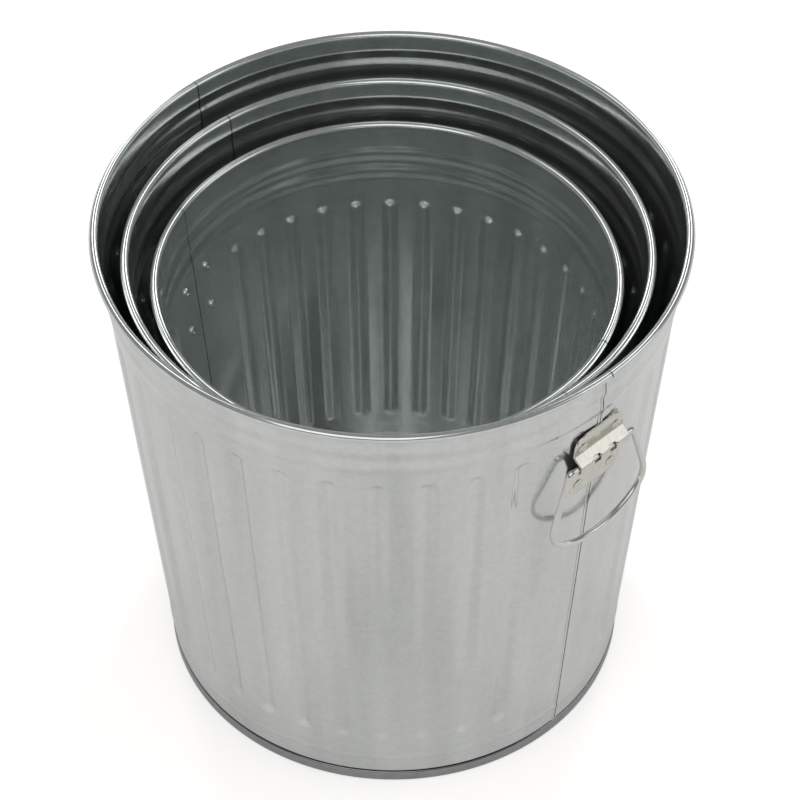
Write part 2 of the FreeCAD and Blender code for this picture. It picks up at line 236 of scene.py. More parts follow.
def wire_tree() -> bpy.types.NodeTree:
    """The geometry tree that draws round wire along a path of edges.

    Returns:
        A tree with named inputs for the wire's radius and its number of sides.
    """
    tree = bpy.data.node_groups.new("draw_wire", "GeometryNodeTree")
    inputs = {"Path": GEOMETRY, "Radius": FLOAT, "Sides": "NodeSocketInt", "Metal": "NodeSocketMaterial"}
    open_sockets(tree, inputs, {"Wire": GEOMETRY})
    desk = Desk(tree)
    given = desk.node("NodeGroupInput").outputs
    path = desk.node("GeometryNodeMeshToCurve", {"Mesh": given["Path"]})
    feeds = {"Resolution": given["Sides"], "Radius": given["Radius"]}
    ring = desk.node("GeometryNodeCurvePrimitiveCircle", feeds)
    feeds = {"Curve": path.outputs[0], "Profile Curve": ring.outputs[0], "Fill Caps": True}
    tube = desk.node("GeometryNodeCurveToMesh", feeds)
    desk.put_out("Wire", tube.outputs[0], given["Metal"])
    return tree


def rivet_tree() -> bpy.types.NodeTree:
    """The geometry tree that sets one rivet on every point of a mesh.

    Returns:
        A tree with named inputs for the rivet, its scale and the metal.
    """
    tree = bpy.data.node_groups.new("set_rivets", "GeometryNodeTree")
    inputs = {"Holes": GEOMETRY, "Rivet": "NodeSocketObject", "Scale": FLOAT, "Metal": "NodeSocketMaterial"}
    open_sockets(tree, inputs, {"Rivets": GEOMETRY})
    desk = Desk(tree)
    given = desk.node("NodeGroupInput").outputs
    rivet = desk.node("GeometryNodeObjectInfo", {"Object": given["Rivet"]})
    number = desk.node("GeometryNodeInputIndex").outputs[0]
    spin = desk.node("ShaderNodeCombineXYZ", {0: desk.math("MULTIPLY", number, RIVET_SPIN)}).outputs[0]
    feeds = {
        "Points": given["Holes"],
        "Instance": rivet.outputs["Geometry"],
        "Rotation": spin,
        "Scale": given["Scale"],
    }
    placed = desk.node("GeometryNodeInstanceOnPoints", feeds)
    desk.put_out("Rivets", placed.outputs[0], given["Metal"])
    return tree


def bake(piece: bpy.types.Object) -> None:
    """Puts what a piece's modifiers make into its own mesh, and removes them."""
    bpy.context.view_layer.update()
    ready = piece.evaluated_get(bpy.context.evaluated_depsgraph_get())
    mesh = bpy.data.meshes.new_from_object(ready)
    piece.modifiers.clear()
    piece.data = mesh


def run_tree(piece: bpy.types.Object, tree: bpy.types.NodeTree, values: dict) -> None:
    """Runs a geometry tree on a piece and keeps the plain mesh.

    Args:
        piece: The object with the starting mesh.
        tree: The geometry tree.
        values: Input values by the socket's name.
    """
    worker = piece.modifiers.new("work", "NODES")
    worker.node_group = tree
    sockets = {s.name: s.identifier for s in tree.interface.items_tree if s.in_out == "INPUT"}
    for name, value in values.items():
        worker[sockets[name]] = value
    bake(piece)


# ---------------------------------------------------------------- finishes
@dataclass(frozen=True)
class GrainShares:
    """How much clouds, streaks and specks count in each thing that the grain puts out."""

    cloud_detail: float = 4.0
    streak_detail: float = 5.0
    cloud_shade: float = 0.2
    streak_shade: float = 0.8
    drawn_shade: float = 0.94
    speck_shade: float = 0.12
    streak_dull: float = 0.8
    speck_dull: float = 0.3
    streak_height: float = 0.7
    speck_height: float = 0.15


GRAIN = GrainShares()


def grain_group() -> bpy.types.NodeTree:
    """The shader group for drawn and galvanised metal: clouds, rolling streaks and specks.

    Returns:
        A group that puts out a shade, a dullness and a height.
    """
    tree = bpy.data.node_groups.new("metal_grain", "ShaderNodeTree")
    inputs = {"Cloud Scale": FLOAT, "Streak Scale": FLOAT, "Streak Run": FLOAT, "Speck Scale": FLOAT}
    open_sockets(tree, inputs, {"Shade": FLOAT, "Dullness": FLOAT, "Height": FLOAT})
    desk = Desk(tree)
    given = desk.node("NodeGroupInput").outputs
    place = desk.node("ShaderNodeTexCoord").outputs["Object"]
    run = desk.node("ShaderNodeCombineXYZ", {0: 1.0, 1: 1.0, 2: given["Streak Run"]}).outputs[0]
    drawn = desk.node("ShaderNodeVectorMath", {0: place, 1: run}, operation="MULTIPLY").outputs[0]
    feeds = {"Vector": place, "Scale": given["Cloud Scale"], "Detail": GRAIN.cloud_detail}
    cloud = desk.node("ShaderNodeTexNoise", feeds).outputs[0]
    feeds = {"Vector": drawn, "Scale": given["Streak Scale"], "Detail": GRAIN.streak_detail}
    streak = desk.node("ShaderNodeTexNoise", feeds).outputs[0]
    specks = desk.node("ShaderNodeTexVoronoi", {"Vector": place, "Scale": given["Speck Scale"]})
    cell = desk.node("ShaderNodeSeparateColor", {0: specks.outputs["Color"]}).outputs[0]
    streaky = desk.math("MULTIPLY", streak, GRAIN.streak_shade)
    both = desk.math("MULTIPLY_ADD", cloud, GRAIN.cloud_shade, streaky)
    both = desk.math("MULTIPLY", both, GRAIN.drawn_shade)
    shade = desk.math("MULTIPLY_ADD", cell, GRAIN.speck_shade, both, clamp=True)
    dulled = desk.math("MULTIPLY", streak, GRAIN.streak_dull)
    dull = desk.math("MULTIPLY_ADD", cell, GRAIN.speck_dull, dulled, clamp=True)
    raised = desk.math("MULTIPLY", cell, GRAIN.speck_height)
    height = desk.math("MULTIPLY_ADD", streak, GRAIN.streak_height, raised)
    desk.node("NodeGroupOutput", {"Shade": shade, "Dullness": dull, "Height": height})
    return tree


@dataclass(frozen=True)
class MetalFinish:
    """How one kind of metal looks."""

    name: str
    dark: Colour
    light: Colour
    polish: float
    dull: float
    cloud_scale: float
    streak_scale: float
    streak_run: float
    speck_scale: float
    ripple: float
    metal: float = 1.0

    def material(self, grain: bpy.types.NodeTree) -> bpy.types.Material:
        """Builds the finish.

        Args:
            grain: The shared grain group.

        Returns:
            The procedural material.
        """
        made = bpy.data.materials.new(self.name)
        made.use_nodes = True
        desk = Desk(made.node_tree)
        shader = made.node_tree.nodes["Principled BSDF"]
        marks = desk.node("ShaderNodeGroup", node_tree=grain)
        values = (self.cloud_scale, self.streak_scale, self.streak_run, self.speck_scale)
        for socket, value in zip(marks.inputs, values):
            socket.default_value = value
        ramp = desk.node("ShaderNodeValToRGB", {0: marks.outputs["Shade"]})
        for stop, place, colour in zip(ramp.color_ramp.elements, RAMP_STOPS, (self.dark, self.light)):
            stop.position, stop.color = place, (*colour, 1.0)
        # Mix's inputs 6 and 7 and its output 2 are the colours; the layer mixes painted shade into the colour,
        # and a mesh without the layer reads 0.
        crevice = desk.node("ShaderNodeAttribute", attribute_name=PAINTED_SHADE_LAYER).outputs["Fac"]
        feeds = {"Factor": crevice, 6: ramp.outputs[0], 7: (*PAINTED_SHADE_COLOUR, 1.0)}
        mixed = desk.node("ShaderNodeMix", feeds, data_type="RGBA")
        desk.feed(shader.inputs["Base Color"], mixed.outputs[2])
        feeds = {"Value": marks.outputs["Dullness"], "To Min": self.polish, "To Max": self.dull}
        rough = desk.node("ShaderNodeMapRange", feeds)
        desk.feed(shader.inputs["Roughness"], rough.outputs["Result"])
        bump = desk.node("ShaderNodeBump", {"Height": marks.outputs["Height"], "Distance": self.ripple})
        desk.feed(shader.inputs["Normal"], bump.outputs[0])
        shader.inputs["Metallic"].default_value = self.metal
        return made


ZINC_SHEET = MetalFinish(
    "zinc_sheet", dark=(0.66, 0.688, 0.68), light=(0.82, 0.85, 0.84), polish=0.09, dull=0.17,
    cloud_scale=7.0, streak_scale=30.0, streak_run=0.03, speck_scale=260.0, ripple=1e-5, metal=0.93,
)
# The floor's zinc is drawn darker than the wall's: painted shade for the bottom of the can, where little light
# reaches.
FLOOR_SHEET = MetalFinish(
    "floor_sheet", dark=(0.34, 0.36, 0.355), light=(0.42, 0.44, 0.435), polish=0.16, dull=0.3,
    cloud_scale=12.0, streak_scale=80.0, streak_run=1.0, speck_scale=200.0, ripple=5e-5,
)
PRESSED_PLATE = MetalFinish(
    "pressed_plate", dark=(0.64, 0.63, 0.58), light=(0.76, 0.745, 0.68), polish=0.06, dull=0.16,
    cloud_scale=40.0, streak_scale=260.0, streak_run=0.2, speck_scale=900.0, ripple=2e-5,
)
BRIGHT_WIRE = MetalFinish(
    "bright_wire", dark=(0.70, 0.70, 0.68), light=(0.82, 0.82, 0.80), polish=0.05, dull=0.12,
    cloud_scale=50.0, streak_scale=300.0, streak_run=0.3, speck_scale=900.0, ripple=2e-5,
)
RIVET_STEEL = MetalFinish(
    "rivet_steel", dark=(0.60, 0.61, 0.60), light=(0.74, 0.75, 0.735), polish=0.1, dull=0.2,
    cloud_scale=60.0, streak_scale=300.0, streak_run=1.0, speck_scale=900.0, ripple=3e-5,
)


# ---------------------------------------------------------------- meshes
def new_piece(name: str, vertices: Sequence, edges: Sequence, faces: Sequence) -> bpy.types.Object:
    """Makes an object from lists.

    Args:
        name: The piece's name.
        vertices: Corner places in metres.
        edges: Loose edges, where there are no faces.
        faces: Corner numbers of each face.

    Returns:
        The object, linked to the scene.
    """
    mesh = bpy.data.meshes.new(name)
    mesh.from_pydata(vertices, edges, faces)
    mesh.validate()
    piece = bpy.data.objects.new(name, mesh)
    bpy.context.scene.collection.objects.link(piece)
    return piece


def darken(mesh: bpy.types.Mesh, shade_paint: Sequence[float]) -> None:
    """Writes each point's painted shade, from 0 to 1, which makes its colour darker where a joint or crease
    lies in shade.
    """
    layer = mesh.attributes.new(PAINTED_SHADE_LAYER, "FLOAT", "POINT")
    layer.data.foreach_set("value", shade_paint)


def face_outward(mesh: bpy.types.Mesh) -> None:
    """Turns every face of a closed mesh outward, after its doubles are merged."""
    work = bmesh.new()
    work.from_mesh(mesh)
    bmesh.ops.remove_doubles(work, verts=work.verts, dist=1e-6)
    bmesh.ops.recalc_face_normals(work, faces=work.faces)
    if work.calc_volume(signed=True) < 0:
        bmesh.ops.reverse_faces(work, faces=work.faces)
    work.to_mesh(mesh)
    work.free()


def smooth_by_angle(mesh: bpy.types.Mesh, degrees: float) -> None:
    """Smooth shading with sharp edges above an angle."""
    mesh.polygons.foreach_set("use_smooth", [True] * len(mesh.polygons))
    mesh.set_sharp_from_angle(angle=math.radians(degrees))


def lathe(profile: Sequence[Point], steps: int) -> tuple[list, list]:
    """Turns a line of (radius, height) about Z; its ends lie on the axis.

    Args:
        profile: Points from the axis and back to it.
        steps: Points round the axis.

    Returns:
        Vertices and faces.
    """
    rings, turns = len(profile), [2 * math.pi * k / steps for k in range(steps)]
    vertices = [(r * math.cos(a), r * math.sin(a), z) for r, z in profile for a in turns]
    faces = []
    for ring in range(rings - 1):
        for k in range(steps):
            after = (k + 1) % steps
            low, high = ring * steps, (ring + 1) * steps
            faces.append((low + k, low + after, high + after, high + k))
    return vertices, faces


def rounded(corners: Sequence[Point], radii: Sequence[float], steps: int) -> list[Point]:
    """Rounds the inner corners of an open line with arcs.

    Args:
        corners: The line's corners.
        radii: The arc's radius at each inner corner.
        steps: Pieces in each arc.

    Returns:
        The rounded line.
    """
    line = [corners[0]]
    for before, corner, after, radius in zip(corners, corners[1:], corners[2:], radii):
        here = Vector(corner)
        back, ahead = (Vector(before) - here).normalized(), (Vector(after) - here).normalized()
        half = back.angle(ahead) / 2
        middle = here + (back + ahead).normalized() * (radius / math.sin(half))
        trim = radius / math.tan(half)
        start, end = here + back * trim - middle, here + ahead * trim - middle
        sweep = start.angle(end)
        for step in range(steps + 1):
            share = step / steps
            ray = (start * math.sin((1 - share) * sweep) + end * math.sin(share * sweep)) / math.sin(sweep)
            line.append(tuple(middle + ray))
    line.append(corners[-1])
    return line


def finish_piece(
    piece: bpy.types.Object, body: str, slot: str, place: Matrix, angle: float, *nodes: str
) -> None:
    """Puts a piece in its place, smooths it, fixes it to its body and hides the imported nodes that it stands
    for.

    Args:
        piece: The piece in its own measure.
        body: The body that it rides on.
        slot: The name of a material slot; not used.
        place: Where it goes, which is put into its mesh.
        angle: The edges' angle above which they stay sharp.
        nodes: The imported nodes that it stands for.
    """
    piece.data.transform(place)
    smooth_by_angle(piece.data, angle)
    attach(piece, body)
    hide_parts(*nodes)
    log.info("%s rides on %s: %d faces", piece.name, body, len(piece.data.polygons))


@dataclass(frozen=True)
class Metals:
    """The materials of the set."""

    sheet: bpy.types.Material
    floor: bpy.types.Material
    plate: bpy.types.Material
    wire: bpy.types.Material
    rivet: bpy.types.Material


@dataclass(frozen=True)
class Trees:
    """The geometry trees of the set."""

    flutes: bpy.types.NodeTree
    wire: bpy.types.NodeTree
    rivets: bpy.types.NodeTree


# ---------------------------------------------------------------- the can's sizes
@dataclass(frozen=True)
class CanSizes:
    """The sizes that differ between the cans, in millimetres and degrees."""

    name: str
    rim_diameter: float
    height: float
    turn: float
    shift: float
    base: float
    bead_drop: float
    flute_drop: float
    flute_width: float
    bracket_drop: float
    wire_offset: float
    bail_lean: float


@dataclass(frozen=True)
class SheetSizes:
    """The sheet's sizes that all cans share, in millimetres and degrees."""

    thickness: float = 0.6
    slope: float = 0.0757
    roll: float = 5.8
    bead_height: float = 1.1
    bead_spacing: float = 17.0
    flute_count: int = 16
    flute_pitch: float = 9.6
    flute_spread: float = 1.22
    flute_flank: float = 0.5
    flute_depth: float = 3.0
    flute_foot: float = 54.0
    seam_height: float = 10.0
    seam_width: float = 3.4
    fold: float = 2.2
    fold_rise: float = 0.6
    stand_off: float = 0.04
    # Painted shade: a dark line along each seam, and a faint one at the front half's fold edge.
    slit: float = 0.3
    slit_fade: float = 0.3
    lap_reach: float = 0.2
    lap_grime: float = 0.15
    joint_notch: float = 0.4
    joint_reach: float = 0.15
    foot_bead: float = 31.0
    foot_bead_height: float = 0.5
    foot_bead_reach: float = 3.2
    tuck: float = 1.3
    tuck_reach: float = 3.5
    # Painted shade: a band above the foot outside, and one inside under the rolled rim.
    foot_grime: float = 2.2
    neck_grime: float = 0.9
    neck_share: float = 0.4
    neck_rise: float = 1.0
    neck_gap: float = 0.4
    ripple: float = 0.5
    curl_start: float = -144.0
    curl_sweep: float = 324.0
    curl_steps: int = 24
    least_rise: float = 0.3


SHEET = SheetSizes()
WALL_LEAN = math.degrees(math.atan(SHEET.slope))

CANS = (
    CanSizes(
        "outer", rim_diameter=440.0, height=429.0, turn=0.0, shift=0.0, base=0.0,
        bead_drop=22.0, flute_drop=56.0, flute_width=15.0, bracket_drop=82.0,
        wire_offset=6.2, bail_lean=WALL_LEAN,
    ),
    CanSizes(
        "middle", rim_diameter=393.6, height=391.0, turn=-4.3, shift=2.8, base=10.0,
        bead_drop=22.0, flute_drop=56.0, flute_width=13.2, bracket_drop=80.0,
        wire_offset=5.2, bail_lean=1.0,
    ),
    CanSizes(
        "inner", rim_diameter=350.4, height=355.5, turn=21.5, shift=3.8, base=20.0,
        bead_drop=28.0, flute_drop=71.5, flute_width=11.7, bracket_drop=83.0,
        wire_offset=4.2, bail_lean=0.8,
    ),
)

# Degrees from a flute's middle to the uprights that draw it, and millimetres from the joint.
FLUTE_UPRIGHTS = (0.0, 0.45, 0.8, 1.1, 1.4, 1.7, 2.0, 2.3, 2.6, 3.2, 3.9)
JOINT_UPRIGHTS = (0.0, 0.3, 0.6, SHEET.fold - 0.25, SHEET.fold, SHEET.fold + 0.5)
PLAIN_UPRIGHTS = 10
PLAIN_GAP = 0.6
# Lowest ring, highest ring and the step between rings, in millimetres over the can's edge.
FOOT_RINGS = ((SHEET.seam_height, 14.0, 0.7), (15.5, 27.0, 5.0), (27.5, 34.5, 0.7), (38.0, 51.0, 6.5))
SHIFT_TURN = math.radians(226.2)  # which way the inner cans stand off centre


def fade_out(distance: float, near: float, fade: float) -> float:
    """1 up to a distance, fading to 0 over the next stretch."""
    return min(1.0, max(0.0, 1.0 - (distance - near) / fade))


def swell(distance: float, reach: float) -> float:
    """A round bump: 1 in its middle and 0 at its reach."""
    return 0.5 + 0.5 * math.cos(math.pi * min(abs(distance) / reach, 1.0))


@dataclass(frozen=True)
class Wall:
    """The two half sheets of a can, at the can's place in the nest."""

    can: CanSizes
    place: Matrix

    def radius(self, height: float) -> float:
        """The plain wall's outer radius at a height over the can's bottom edge."""
        return self.can.rim_diameter / 2 - SHEET.roll - SHEET.slope * (self.can.height - height)

    def relief(self, height: float) -> float:
        """How far the beads and the tuck at the foot move the wall outward at a height."""
        drop = self.can.height - height - self.can.bead_drop
        spacing, high, bead = SHEET.bead_spacing, SHEET.bead_height, 0.0
        if drop < 0:
            bead = high * swell(drop, spacing / 2)
        elif drop < 1.5 * spacing:
            bead = high / 2 + high / 2 * math.cos(2 * math.pi * drop / spacing)
        foot = SHEET.foot_bead_height * swell(height - SHEET.foot_bead, SHEET.foot_bead_reach)
        tuck = -SHEET.tuck * swell(height - SHEET.seam_height, SHEET.tuck_reach)
        return bead + foot + tuck

    def heights(self) -> list[float]:
        """Where the sheet has its rings, from the foot to under the rolled rim."""
        top = self.can.height
        flute_top, bead = top - self.can.flute_drop, top - self.can.bead_drop
        spans = (
            *FOOT_RINGS,
            (SHEET.flute_foot - 1.0, SHEET.flute_foot + 10.0, 1.0),
            (SHEET.flute_foot + 16.0, flute_top - 16.0, 22.0),
            (flute_top - 10.0, flute_top + 1.0, 1.0),
            (bead - 33.5, bead + 9.5, 1.15),
            (bead + 10.5, top - 5.0, 1.6),
        )
        levels = set()
        for low, high, step in spans:
            levels |= {round(z, 2) for z in np.linspace(low, high, 1 + math.ceil((high - low) / step))}
        kept = sorted(levels)
        return [z for z, after in zip(kept, kept[1:] + [math.inf]) if after - z > SHEET.least_rise]

    def profile(self) -> tuple[list[Point], list[bool]]:
        """The sheet's closed section as (radius, height).

        Returns:
            The points, and for each whether the lock seam's fold lies on it.
        """
        levels, thick, roll = self.heights(), SHEET.thickness, SHEET.roll
        outside = [(self.radius(z) + self.relief(z), z) for z in levels]
        face, half = self.radius(self.can.height), roll / 2
        wide = (roll + thick) / 2
        centre, rim = (face + roll - wide, self.can.height - half), []
        for step in range(SHEET.curl_steps + 1):
            angle = math.radians(SHEET.curl_start + SHEET.curl_sweep * step / SHEET.curl_steps)
            rim.append((centre[0] + wide * math.cos(angle), centre[1] + half * math.sin(angle)))
        inner_levels = [z for z in levels if z < self.can.height - half - SHEET.neck_gap]
        inside = [(self.radius(z) + self.relief(z) - thick, z) for z in reversed(inner_levels)]
        folded = [True] * len(outside) + [False] * (len(rim) + len(inside))
        return outside + rim + inside, folded

    @staticmethod
    def first_flute() -> float:
        """The first flute's turn from the joint, in degrees."""
        return 90.0 - SHEET.flute_pitch * (SHEET.flute_count - 1) / 2

    def turns(self) -> list[float]:
        """Where the half sheet has its uprights, in degrees from its first seam."""
        pitch, first = SHEET.flute_pitch, self.first_flute()
        around = sorted({-x for x in FLUTE_UPRIGHTS} | set(FLUTE_UPRIGHTS)) + [pitch / 2]
        fluted = [first + pitch * n + x for n in range(SHEET.flute_count) for x in around]
        per_mm = math.degrees(1 / self.radius(self.can.height / 2))
        near = [x * per_mm for x in JOINT_UPRIGHTS]
        plain = near + list(np.linspace(near[-1] + PLAIN_GAP, first - pitch / 2, PLAIN_UPRIGHTS))
        mirrored = [180.0 - x for x in plain]
        return sorted(set(plain + [x for x in fluted if plain[-1] < x < 180 - plain[-1]] + mirrored))

    def mesh(self, half: Half) -> tuple[list, list, list]:
        """The bent sheet before its flutes are pressed.

        Args:
            half: Which half of the can.

        Returns:
            Vertices and faces in the can's own place, in metres, and each point's painted shade.
        """
        profile, folded = self.profile()
        dark = self.crevices(profile, folded)
        turns, count = self.turns(), len(profile)
        sign = 1 if half is Half.BACK else -1
        vertices, faces, shade_paint = [], [], []
        for turn in turns:
            angle = math.radians(turn) * sign
            edge = math.radians(min(turn, 180 - turn))
            for (radius, z), fold, deep in zip(profile, folded, dark):
                from_seam = edge * radius
                # Painted shade: the dark line along the seam, the faint line at the front half's fold edge, and
                # the shade under the rim and at the foot.
                slit = fade_out(from_seam, SHEET.slit, SHEET.slit_fade)
                lap = fold and half is Half.FRONT and abs(from_seam - SHEET.fold) < SHEET.lap_reach
                shade_paint.append(max(deep, slit, SHEET.lap_grime * lap))
                if fold and from_seam < SHEET.fold - SHEET.lap_reach / 2:
                    radius += SHEET.fold_rise
                if from_seam < SHEET.joint_reach:
                    outer_face = fold or z > self.can.height - SHEET.roll
                    radius -= SHEET.joint_notch if outer_face else -SHEET.joint_notch
                vertices.append((radius * math.cos(angle) * MM, radius * math.sin(angle) * MM, z * MM))
        for column in range(len(turns) - 1):
            for k in range(count):
                after = (k + 1) % count
                low, high = column * count, (column + 1) * count
                faces.append((low + k, high + k, high + after, low + after))
        last = (len(turns) - 1) * count
        faces += [tuple(range(count)), tuple(range(last + count - 1, last - 1, -1))]
        return vertices, faces, shade_paint

    def crevices(self, profile: Sequence[Point], folded: Sequence[bool]) -> list[float]:
        """The painted shade of each point of the section: on the outer wall under the rolled rim and just above
        the foot, and inside under the rim.
        """
        top = self.can.height - SHEET.roll
        face = self.radius(self.can.height) + SHEET.neck_share * SHEET.roll
        dark = []
        for (radius, z), outside in zip(profile, folded):
            if outside:
                dark.append(float(z > top or z < SHEET.seam_height + SHEET.foot_grime))
            else:
                dark.append(SHEET.neck_grime * (z < top + SHEET.neck_rise and radius > face))
        return dark

    def build(self, metals: Metals, trees: Trees) -> None:
        """Makes both half sheets.

        Args:
            metals: The set's materials.
            trees: The set's geometry trees.
        """
        can = self.can
        width = can.flute_width * SHEET.flute_spread
        for half in Half:
            vertices, faces, shade_paint = self.mesh(half)
            piece = new_piece(f"{can.name}_sheet_{half.value}", vertices, [], faces)
            # Paints shade into the sheet's colour at its joints, under the rim and at the foot.
            darken(piece.data, shade_paint)
            face_outward(piece.data)
            values = {
                "First": math.radians(self.first_flute()),
                "Pitch": math.radians(SHEET.flute_pitch),
                "Last": float(SHEET.flute_count - 1),
                "Width": width * MM,
                "Flank": width * SHEET.flute_flank * MM,
                "Depth": SHEET.flute_depth * MM,
                "Bottom": SHEET.flute_foot * MM,
                "Top": (can.height - can.flute_drop) * MM,
                "Ripple": SHEET.ripple * MM,
                "Seed": can.base * MM,
                "Metal": metals.sheet,
            }
            run_tree(piece, trees.flutes, values)
            body, node = f"{can.name}_can", f"{can.name}_wall_{half.value}"
            finish_piece(piece, body, "wall_sheet", self.place, SHEET_EDGE, node)


@dataclass(frozen=True)
class Floor:
    """The raised floor of a can and the rolled seam round its foot, at the can's place in the nest."""

    can: CanSizes
    place: Matrix

    def profile(self) -> list[Point]:
        """The floor's section, from the axis over the top, round the seam and back."""
        edge = Wall(self.can, self.place).radius(SHEET.seam_height)
        top, under = SHEET.seam_height, SHEET.seam_height - SHEET.thickness
        inner, rest = edge - SHEET.seam_width, SHEET.stand_off
        panel = [(0.0, top), (40.0, top), (90.0, top), (inner - 13.0, top), (inner - 12.0, top - 0.15)]
        panel += [(inner - 11.0, top - 0.55), (inner - 8.5, top - 0.6), (inner - 7.4, top - 0.2)]
        panel += [(inner - 6.4, top), (inner, top), (edge - 0.6, top), (edge - 1.1, top + 0.1)]
        ring = [(edge - 0.9, 9.9), (edge - 0.1, 9.5), (edge + 0.35, 8.7), (edge + 0.55, 7.5)]
        ring += [(edge + 0.6, 5.0), (edge + 0.5, 2.4), (edge + 0.2, 1.0), (edge - 0.5, 0.25)]
        ring += [(edge - 1.4, rest), (inner + 1.2, rest), (inner + 0.5, 0.25), (inner + 0.1, 0.9), (inner, 2.0)]
        ring += [(inner, under - 1.5), (inner - 0.4, under - 0.4), (inner - 1.5, under)]
        back = [(inner - 6.4, under), (inner - 7.4, under - 0.2), (inner - 8.5, under - 0.6)]
        back += [(inner - 11.0, under - 0.55), (inner - 12.0, under - 0.15), (inner - 13.0, under)]
        return panel + ring + back + [(90.0, under), (40.0, under), (0.0, under)]

    def build(self, metals: Metals) -> None:
        """Makes the floor.

        Args:
            metals: The set's materials.
        """
        name = self.can.name
        vertices, faces = lathe([(r * MM, z * MM) for r, z in self.profile()], FLOOR_STEPS)
        piece = new_piece(f"{name}_base", vertices, [], faces)
        face_outward(piece.data)
        piece.data.materials.append(metals.floor)
        finish_piece(piece, f"{name}_can", "floor_sheet", self.place, FLOOR_EDGE, f"{name}_floor")


@dataclass(frozen=True)
class BracketSizes:
    """The riveted bracket's sizes, in millimetres."""

    width: float = 50.0
    thickness: float = 1.2
    back: float = 0.7
    corner: float = 10.0
    upper: float = 26.0
    lower: float = 37.0
    rise: float = 8.0
    wire: float = 5.0
    clearance: float = 0.35
    notch_width: float = 6.5
    notch_spacing: float = 16.0
    notch_bottom: float = -1.6
    notch_top: float = 4.2
    columns: tuple[float, ...] = (0.0, 2.4, 8.0, 14.5, 18.0, 21.5, 23.8)
    bend_radii: tuple[float, ...] = (1.2, 1.6, 1.6, 1.2)
    bend_steps: int = 5
    longest_step: float = 2.0
    edge_width: float = 0.22
    edge_steps: int = 2
    edge_angle: float = 50.0
    rivet_spacing: float = 33.5
    rivet_rise: float = 40.0
    upper_rivet: float = 13.5
    rivet_head: float = 9.0


BRACKET = BracketSizes()


@dataclass(frozen=True)
class Bracket:
    """A pressed plate with a barrel across its middle, and the rivets that hold it.

    Its place has X out of the wall and Z up along it.
    """

    can: CanSizes
    side: Side
    place: Matrix

    def section(self) -> list[Point]:
        """The strap's middle line as (out, up), from the upper edge to the lower."""
        b = BRACKET
        plate = b.back + b.thickness / 2
        front = self.can.wire_offset + b.wire / 2 + b.clearance + b.thickness / 2
        bend = b.wire / 2
        tips = [(plate, b.upper), (plate, b.rise), (front, bend)]
        tips += [(front, -bend), (plate, -b.rise), (plate, -b.lower)]
        line = rounded(tips, b.bend_radii, b.bend_steps)
        fine = [line[0]]
        for start, end in zip(line, line[1:]):
            pieces = max(1, math.ceil(math.dist(start, end) / b.longest_step))
            for k in range(1, pieces + 1):
                share = k / pieces
                fine.append(tuple(a + (c - a) * share for a, c in zip(start, end)))
        return fine

    def half_width(self, up: float) -> float:
        """How far the plate reaches sideways at a height along the wall."""
        b = BRACKET
        past = max(up - (b.upper - b.corner), -(b.lower - b.corner) - up, 0.0)
        return b.width / 2 - b.corner + math.sqrt(max(b.corner**2 - past**2, 0.0))

    def build_plate(self, metals: Metals) -> None:
        """Makes the pressed plate.

        Args:
            metals: The set's materials.
        """
        b = BRACKET
        section = self.section()
        near, far = (b.notch_spacing - b.notch_width) / 2, (b.notch_spacing + b.notch_width) / 2
        wide = b.width / 2
        shares = sorted({x / wide for t in (*b.columns, near, far, wide) for x in (t, -t)})
        rows, columns = len(section), len(shares)
        vertices = []
        for out, up in section:
            half = self.half_width(up)
            vertices += [(out * MM, share * half * MM, up * MM) for share in shares]
        faces = []
        for row in range(rows - 1):
            (out, up), (_, down) = section[row], section[row + 1]
            level = (up + down) / 2
            for column in range(columns - 1):
                across = abs(shares[column] + shares[column + 1]) / 2 * wide
                if b.notch_bottom < level < b.notch_top and near < across < far:
                    continue
                low = row * columns + column
                faces.append((low, low + columns, low + columns + 1, low + 1))
        name = f"{self.can.name}_strap_{self.side.label}"
        piece = new_piece(name, vertices, [], faces)
        thick = piece.modifiers.new("thickness", "SOLIDIFY")
        thick.thickness, thick.offset, thick.use_even_offset = b.thickness * MM, 0.0, True
        edge = piece.modifiers.new("edge", "BEVEL")
        edge.width, edge.segments, edge.limit_method = b.edge_width * MM, b.edge_steps, "ANGLE"
        edge.angle_limit = math.radians(b.edge_angle)
        bake(piece)
        face_outward(piece.data)
        piece.data.materials.append(metals.plate)
        node = f"{self.can.name}_bracket_{self.side.label}"
        finish_piece(piece, f"{self.can.name}_can", "bracket_plate", self.place, PLATE_EDGE, node)

    def build_rivets(self, metals: Metals, trees: Trees, rivet: bpy.types.Object) -> None:
        """Sets four rivets through the plate and the wall.

        Args:
            metals: The set's materials.
            trees: The set's geometry trees.
            rivet: One rivet with its head outward along X.
        """
        b = BRACKET
        front = b.back + b.thickness
        rows = (b.upper_rivet, b.upper_rivet - b.rivet_rise)
        holes = [(front * MM, s * b.rivet_spacing / 2 * MM, up * MM) for s in (1, -1) for up in rows]
        name = f"{self.can.name}_studs_{self.side.label}"
        piece = new_piece(name, holes, [], [])
        run_tree(piece, trees.rivets, {"Rivet": rivet, "Scale": 1.0, "Metal": metals.rivet})
        node = f"{self.can.name}_rivets_{self.side.label}"
        finish_piece(piece, f"{self.can.name}_can", "rivet", self.place, ROUND_EDGE, node)


